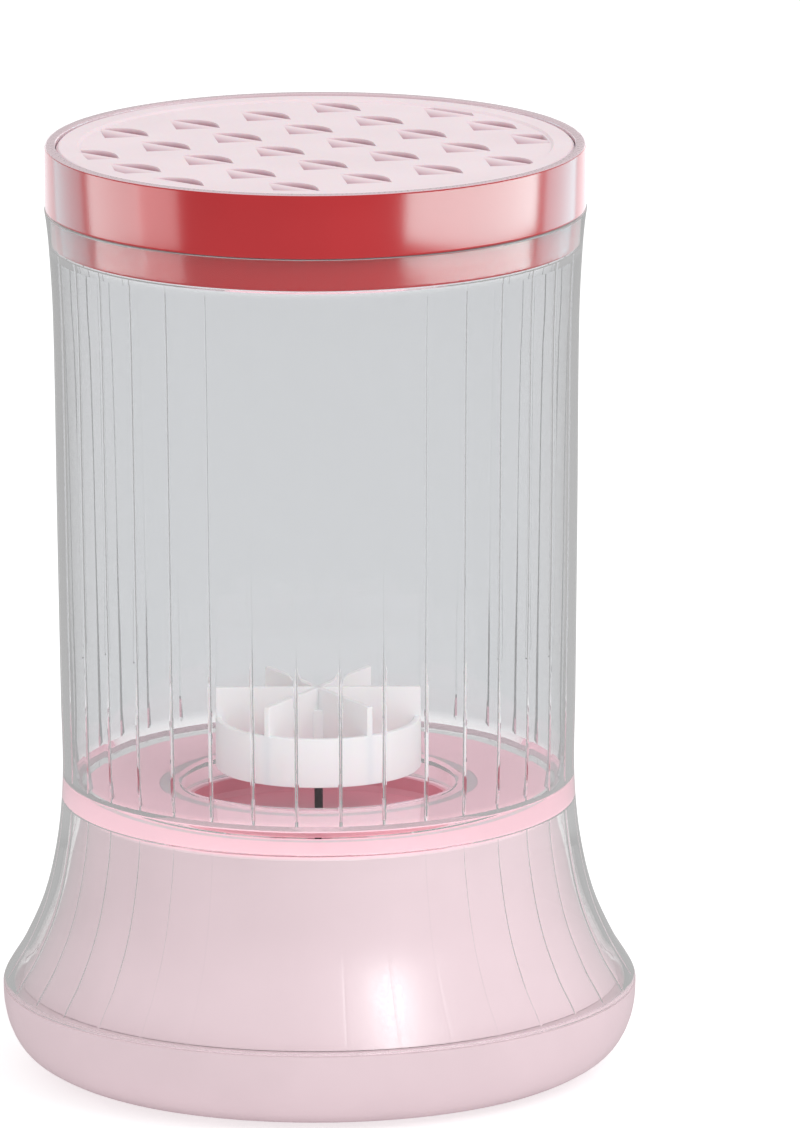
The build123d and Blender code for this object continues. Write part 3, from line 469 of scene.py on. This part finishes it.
def make_cup():
    """The clear moulding: wall, floor with its hole, and skirt, with ribs on its inner side."""
    outside = hermite(
        [(CUP_LIP_RADIUS, LIP_Z - 0.1), (46.7, 147.0), (46.05, 134.0), (45.7, 100.0), (45.3, 66.0),
         (45.1, 52.0), (46.1, 40.5), (48.5, 30.0), (52.2, 21.5), (55.2, 16.6),
         (BASE_RADIUS - 0.05, SEAM_Z + 0.4)],
        CURVE_STEPS, ((-0.16, -1.0), (0.25, -1.0)),
    )
    foot = [(55.7, SEAM_Z + 0.18), (54.3, SEAM_Z + 0.15)]
    skirt_inside = hermite(
        [(54.0, SEAM_Z + 0.2), (53.0, 17.0), (50.2, 21.5), (46.6, 30.0), (44.3, 40.0),
         (43.45, DECK_Z + 0.3)],
        CURVE_STEPS, ((-0.3, 1.0), (-0.04, 1.0)),
    )
    under_floor = [
        (42.9, BONDED_Z), (36.0, BONDED_Z), (30.0, BONDED_Z), (FLOOR_HOLE_RADIUS + 0.3, BONDED_Z),
        (FLOOR_HOLE_RADIUS, BONDED_Z + 0.3),
    ]
    over_floor = [
        (FLOOR_HOLE_RADIUS, FLOOR_TOP_Z - 0.5), (FLOOR_HOLE_RADIUS + 0.5, FLOOR_TOP_Z),
        (30.0, FLOOR_TOP_Z), (36.0, FLOOR_TOP_Z), (41.6, FLOOR_TOP_Z), (42.8, FLOOR_TOP_Z + 0.45),
        (43.4, FLOOR_TOP_Z + 1.4),
    ]
    wall = [tuple(WALL_FOOT.lerp(WALL_HEAD, k / WALL_STEPS)) for k in range(WALL_STEPS + 1)]
    bore = [
        (45.3, PLUG_BOTTOM_Z - 0.4), (CUP_BORE_RADIUS, PLUG_BOTTOM_Z - 0.1),
        (CUP_BORE_RADIUS, LIP_Z - 0.08),
    ]
    lip = [(CUP_BORE_RADIUS + 0.08, LIP_Z), (CUP_LIP_RADIUS - 0.12, LIP_Z)]

    plain_start = outside + foot + skirt_inside[:2]
    plain_floor = skirt_inside[-1:] + under_floor + over_floor
    sections = (
        (plain_start, False), (skirt_inside[2:-1], True), (plain_floor, False), (wall, True),
        (bore + lip, False),
    )
    outline = [point for points, ribbed in sections for point in points]
    has_rib = [ribbed for points, ribbed in sections for point in points]

    def shape(index, angle):
        return -rib(angle, outline[index][1]) if has_rib[index] else 0.0

    bm = lathe(bmesh.new(), outline, flute_angles(), shape)
    finish_mesh("cup_fluted", bm, "clear_plastic", "base", ["clear_cup"], sharp=9)


# ---- lid ---------------------------------------------------------------------------------------
PAD_GAP = 0.1             # between the pad and the recess of the ring
SHELF_THICKNESS = 1.8
SHELF_LEDGE = 0.4         # how far the shelf reaches in past the field of the pad
RING_ROUND = 0.4
RING_SEGMENTS = 256
RIM_REACH = 0.3           # the pink of the recess goes this far over its rounded edge
PAD_EDGE = 0.12           # how far the edges of the pad are rounded
PAD_WELD = 0.002


def make_ring():
    """The red ring with its plug and the shelf that the pad rests on. Its top edge and the recess round
    the pad are pink."""
    plug_inside = PLUG_RADIUS - PLUG_WALL
    recess, shelf = PAD_RADIUS + PAD_GAP, PAD_FIELD_RADIUS - SHELF_LEDGE
    shelf_bottom = PAD_SHELF_Z - SHELF_THICKNESS
    corners = [
        (plug_inside, PLUG_BOTTOM_Z), (PLUG_RADIUS, PLUG_BOTTOM_Z), (PLUG_RADIUS, GASKET_TOP_Z),
        (LID_RADIUS, GASKET_TOP_Z), (LID_RADIUS, HEIGHT), (recess, HEIGHT), (recess, PAD_SHELF_Z),
        (shelf, PAD_SHELF_Z), (shelf, shelf_bottom), (plug_inside, shelf_bottom),
    ]
    bm = lathe(bmesh.new(), softened(corners, RING_ROUND, 4), even_angles(RING_SEGMENTS))
    ring = finish_mesh("lid_ring_plated", bm, "plated_ring", "lid", ["lid_ring"], sharp=40)
    ring.data.materials.append(MATERIALS["ring_rim"])
    for face in ring.data.polygons:
        radius, height = face.center.xy.length / MM, face.center.z / MM
        in_recess = height > PAD_SHELF_Z and radius < recess + RIM_REACH
        on_top = height > PAD_TOP_Z and face.normal.z > 0.6
        if in_recess or on_top:
            face.material_index = 1
    return ring


def make_pad():
    """The silicone pad: the shape of the CAD solid, with every edge moulded soft."""
    piece = bpy.data.objects.new("lid_pad_soft", frame["nodes"]["lid_pad"].data.copy())
    bpy.context.scene.collection.objects.link(piece)
    weld = piece.modifiers.new("weld", "WELD")
    weld.merge_threshold = PAD_WELD * MM
    bevel = piece.modifiers.new("soft_edges", "BEVEL")
    bevel.width = PAD_EDGE * MM
    bevel.segments = 3
    bevel.limit_method = "ANGLE"
    bevel.angle_limit = math.radians(25)
    bevel.harden_normals = True
    graph = bpy.context.evaluated_depsgraph_get()
    mesh = bpy.data.meshes.new_from_object(piece.evaluated_get(graph))
    piece.modifiers.clear()
    piece.data = mesh
    mesh.materials.clear()
    mesh.materials.append(MATERIALS["pad_silicone"])
    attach(piece, "lid")
    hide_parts("lid_pad")


# ---- paddle ------------------------------------------------------------------------------------
BAND_WALL = 1.2
HUB_RADIUS = 2.8
HUB_BORE = 0.8
HUB_HEIGHT = 10.1
HUB_ROOF = 1.5
AXIS_RADIUS = 0.001       # the outline of the hub ends this close to the axis
PADDLE_ROUND = 0.3
VANE_ROUND = 0.25
BAND_SEGMENTS = 144
HUB_SEGMENTS = 48


def make_paddle():
    """The white paddle: a ring, a hub closed at the top, and three slabs that make six vanes."""
    bm = bmesh.new()
    inside = PADDLE_RADIUS - BAND_WALL
    band = [
        (inside, PADDLE_BOTTOM_Z), (PADDLE_RADIUS, PADDLE_BOTTOM_Z),
        (PADDLE_RADIUS, PADDLE_RING_TOP_Z), (inside, PADDLE_RING_TOP_Z),
    ]
    lathe(bm, softened(band, PADDLE_ROUND), even_angles(BAND_SEGMENTS))
    hub_top = PADDLE_BOTTOM_Z + HUB_HEIGHT
    hub = [
        (HUB_BORE, PADDLE_BOTTOM_Z), (HUB_RADIUS, PADDLE_BOTTOM_Z), (HUB_RADIUS, hub_top),
        (AXIS_RADIUS, hub_top), (AXIS_RADIUS, hub_top - HUB_ROOF), (HUB_BORE, hub_top - HUB_ROOF),
    ]
    lathe(bm, softened(hub, PADDLE_ROUND), even_angles(HUB_SEGMENTS))
    vane_height = PADDLE_TOP_Z - PADDLE_BOTTOM_Z
    vane_size = (2 * PADDLE_RADIUS - 0.1, VANE_THICKNESS, vane_height)
    vane_middle = (0, 0, PADDLE_BOTTOM_Z + vane_height / 2)
    for turn in (0, 60, 120):
        rounded_slab(bm, vane_size, vane_middle, math.radians(turn), VANE_ROUND)
    return finish_mesh("paddle_wheel", bm, "white_plastic", "paddle", ["paddle"])


# ---- stage -------------------------------------------------------------------------------------
CAMERA_PLACE = (0.0, -2.4, 0.6345)
CAMERA_TARGET = (0.0145, 0.0, 0.0895)
CAMERA_ROLL = -0.22
CAMERA_LENS = 447
CAMERA_SENSOR = 36
FLOOR_RADIUS = 30
FLOOR_GREY = 0.60
FLOOR_EMISSION = 0.54
MIRRORED_FLOOR = 0.46     # what the object mirrors of the floor and the world is a softer grey
MIRRORED_WORLD = 0.45
WORLD_STRENGTH = 0.9
STRIP_DISTANCE = 0.5
STRIP_HEIGHT = 0.3
STRIP_TARGET = (0, 0, 0.1)
STRIPS = (                # name, azimuth, width, power and colour
    ("strip_right", 71, 0.68, 7.4, (0.62, 1.0, 1.0)),
    ("strip_left", -93, 0.28, 1.7, (0.75, 1.0, 1.0)),
    ("strip_left_soft", -68, 0.18, 0.75, (1.0, 1.0, 1.0)),
    ("side_right", 126, 0.28, 1.0, (0.46, 0.95, 1.0)),
    ("side_left", -128, 0.26, 0.58, (0.38, 0.95, 1.0)),
    ("edge_right", 158, 0.26, 0.38, (0.84, 0.85, 0.88)),
    ("edge_left", -158, 0.26, 0.27, (0.84, 0.86, 0.89)),
)


def make_camera():
    """The camera at the viewing angle of the reference."""
    data = bpy.data.cameras.new("camera")
    data.lens = CAMERA_LENS
    data.sensor_width = CAMERA_SENSOR
    camera = bpy.data.objects.new("camera", data)
    bpy.context.scene.collection.objects.link(camera)
    direction = Vector(CAMERA_TARGET) - Vector(CAMERA_PLACE)
    roll = Matrix.Rotation(math.radians(CAMERA_ROLL), 3, "Z")
    camera.location = CAMERA_PLACE
    camera.rotation_euler = (direction.to_track_quat("-Z", "Y").to_matrix() @ roll).to_euler()
    bpy.context.scene.camera = camera


def make_floor():
    """A white floor that fills the view."""
    bm = bmesh.new()
    bmesh.ops.create_circle(bm, cap_ends=True, radius=FLOOR_RADIUS, segments=96)
    mesh = bpy.data.meshes.new("floor")
    bm.to_mesh(mesh)
    bm.free()
    floor = bpy.data.objects.new("floor", mesh)
    material = surface(
        "floor_white", (FLOOR_GREY, FLOOR_GREY, FLOOR_GREY), (0.6, 0.7), 0.003, grain_strength=0.0,
        Specular_IOR_Level=0.1, Emission_Color=(1, 1, 1, 1), Emission_Strength=FLOOR_EMISSION)
    mesh.materials.append(material)
    nodes, links = material.node_tree.nodes, material.node_tree.links
    dim = nodes.new("ShaderNodeBsdfDiffuse")
    dim.inputs["Color"].default_value = (MIRRORED_FLOOR, MIRRORED_FLOOR, MIRRORED_FLOOR, 1)
    end_in_mix(nodes, links, mirrored_rays(nodes, links)[1], nodes["Principled BSDF"], dim)
    bpy.context.scene.collection.objects.link(floor)


def area_light(name, azimuth, elevation, distance, size, power, colour=WHITE, target=(0, 0, 0.08)):
    """A soft light that faces the target. Azimuth 0 is the camera's side, and turns towards +X."""
    data = bpy.data.lights.new(name, "AREA")
    data.shape = "RECTANGLE"
    data.size, data.size_y = size
    data.energy = power
    data.color = colour
    light = bpy.data.objects.new(name, data)
    flat = math.cos(math.radians(elevation)) * distance
    around, up = math.radians(azimuth), math.sin(math.radians(elevation)) * distance
    light.location = Vector(target) + Vector((flat * math.sin(around), -flat * math.cos(around), up))
    light.rotation_euler = (Vector(target) - light.location).to_track_quat("-Z", "Y").to_euler()
    light.visible_camera = False
    bpy.context.scene.collection.objects.link(light)
    return light


def group(name, pieces):
    """A collection of pieces, for light linking."""
    collection = bpy.data.collections.new(name)
    for piece in pieces:
        collection.objects.link(piece)
    return collection


def only_on(light, pieces, blockers=()):
    """Lets a lamp light and reflect in some pieces alone, as a shielded strip light would. With
    blockers, only those cast a shadow from it."""
    light.light_linking.receiver_collection = group(light.name + "_on", pieces)
    if blockers:
        light.light_linking.blocker_collection = group(light.name + "_shaded_by", blockers)


def make_lights(ring, paddle):
    """A soft key and top light, a small oval light that shows as the glow on the housing, fills for what
    lies inside the cup, and strips that the ring mirrors."""
    nodes = frame["nodes"]
    key = area_light("key_right", azimuth=50, elevation=42, distance=1.6, size=(0.9, 0.9), power=7)
    top = area_light("top_soft", azimuth=170, elevation=75, distance=1.6, size=(1.6, 1.2), power=2)
    glow = area_light("oval_glow", azimuth=32, elevation=32, distance=1.5, size=(0.24, 0.16), power=11.5)
    fill = area_light("inner_fill", azimuth=10, elevation=38, distance=0.9, size=(0.4, 0.4), power=2.6)
    deck = area_light("deck_fill", azimuth=50, elevation=76, distance=0.9, size=(0.4, 0.4), power=3.0)
    for soft in (key, top, fill, deck):
        soft.visible_glossy = False
    glow.data.shape = "ELLIPSE"
    glow.visible_diffuse = False
    only_on(glow, [nodes["housing"]])
    only_on(fill, [paddle, nodes["well_liner"], nodes["cup_seal"]])
    only_on(deck, [nodes["housing"]], blockers=[paddle])
    for name, azimuth, width, power, colour in STRIPS:
        strip = area_light(name, azimuth, 0, STRIP_DISTANCE, (width, STRIP_HEIGHT), power, colour,
                           STRIP_TARGET)
        strip.visible_diffuse = False
        only_on(strip, [ring])


def make_world():
    """Even white light from all round, and enough bounces for light to pass the walls of the cup."""
    world = bpy.data.worlds.new("studio")
    bpy.context.scene.world = world
    world.use_nodes = True
    nodes, links = world.node_tree.nodes, world.node_tree.links
    background = nodes["Background"]
    background.inputs["Color"].default_value = (1, 1, 1, 1)
    strength = nodes.new("ShaderNodeMapRange")
    strength.inputs["To Min"].default_value = WORLD_STRENGTH
    strength.inputs["To Max"].default_value = MIRRORED_WORLD
    links.new(mirrored_rays(nodes, links)[1], strength.inputs["Value"])
    links.new(strength.outputs["Result"], background.inputs["Strength"])
    scene = bpy.context.scene
    scene.view_settings.view_transform = "Standard"
    scene.cycles.max_bounces = 16
    scene.cycles.transmission_bounces = 14
    scene.cycles.transparent_max_bounces = 16
    scene.cycles.glossy_bounces = 8


# Painted shade: the pad darkens down its pockets. Painted light: the housing's deck turns lighter and
# pinker, making up for the shade of the lid.
paint_shade_and_light_by_height("pad_silicone", POCKET_PAINTED_SHADE, PAD_FIELD_Z - 0.1, PAD_FIELD_Z - 1.1)
paint_shade_and_light_by_height("housing_plastic", DECK_PAINTED_LIGHT, DECK_Z - 0.9, DECK_Z - 0.5)
dress_cad_nodes()
make_camera()
make_world()
make_floor()
make_cup()
lid_ring = make_ring()
make_pad()
paddle_wheel = make_paddle()
make_lights(lid_ring, paddle_wheel)
